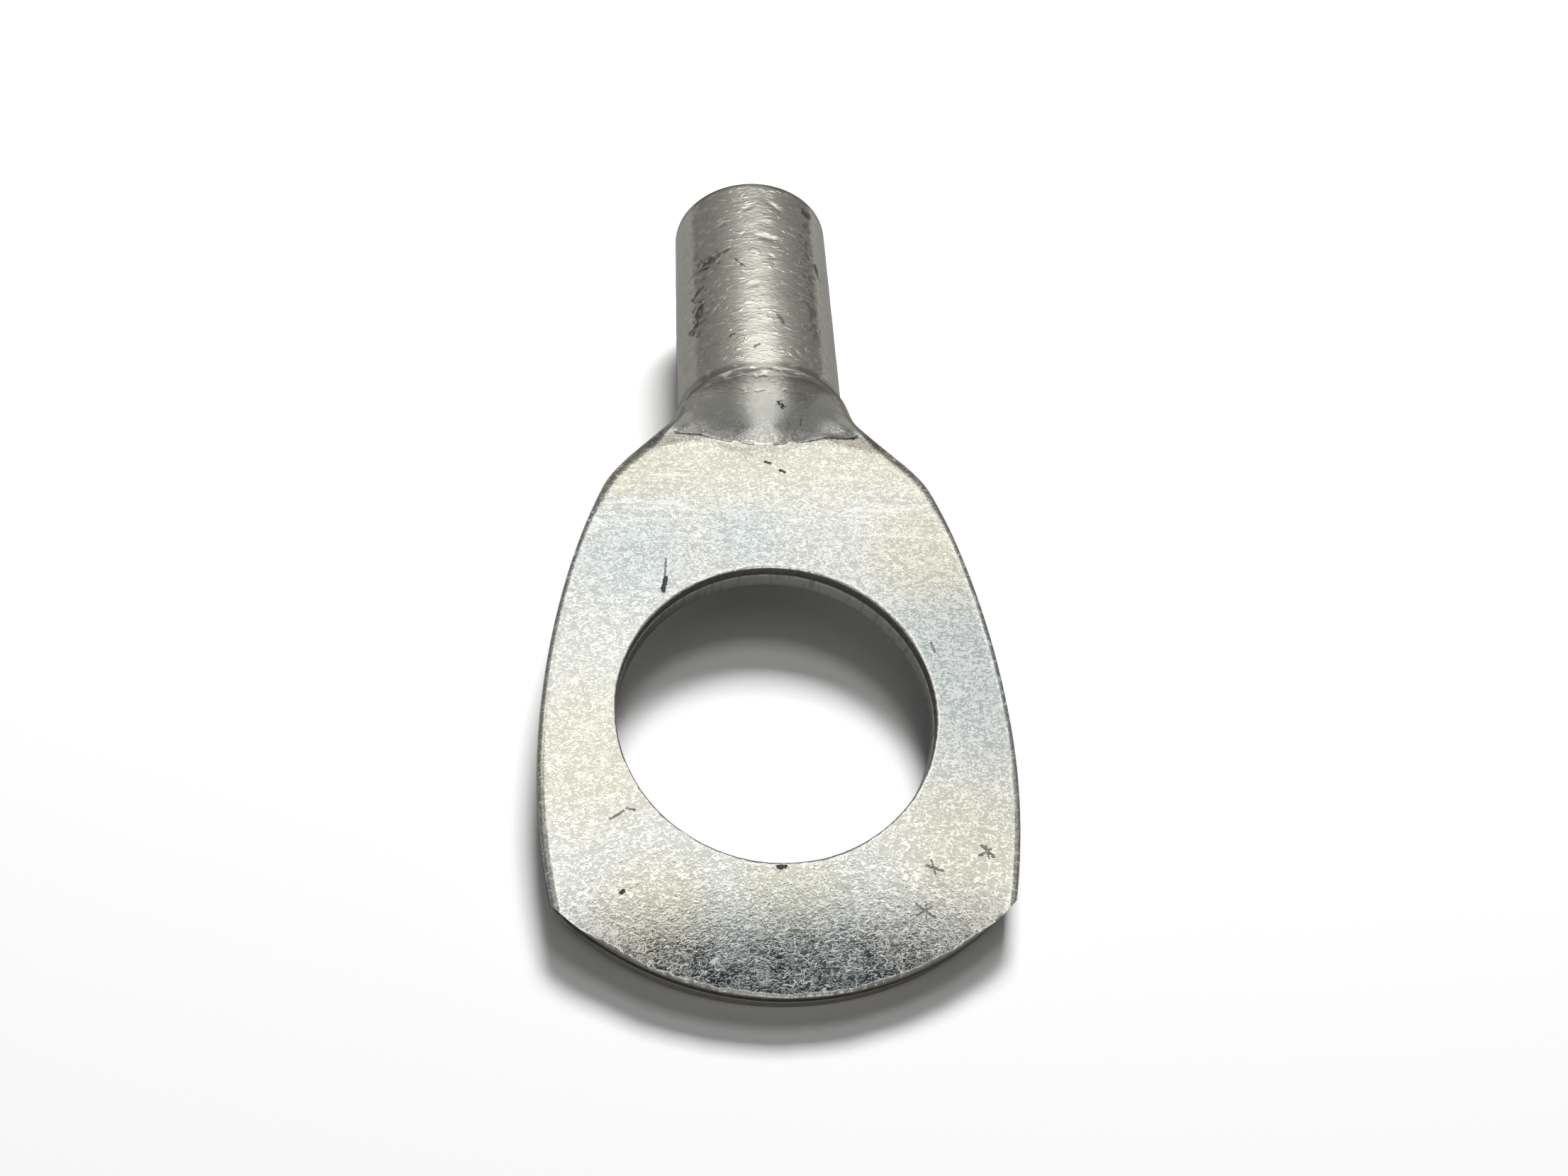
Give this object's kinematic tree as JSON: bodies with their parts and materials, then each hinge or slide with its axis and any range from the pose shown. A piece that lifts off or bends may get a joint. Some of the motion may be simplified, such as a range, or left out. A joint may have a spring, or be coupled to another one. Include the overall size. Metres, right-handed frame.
{
  "type": "ring terminal",
  "caption": "Tinned copper tube cable lug: a round barrel for the wire, a steep pressed neck and a wide flat palm with a large stud hole and an arc-shaped tip.",
  "frame": {"origin": "centre of the stud hole on the palm's lower face", "axes": "+Z along the stud, +Y towards the palm's tip, -Y along the barrel to its open mouth, +X across the palm"},
  "size_m": [0.019, 0.0389, 0.0079],
  "materials": {
    "tinned_copper": "satin hot-dipped tin over copper"
  },
  "bodies": {
    "root": {"ring_terminal": "tinned_copper"}
  },
  "joints": []
}
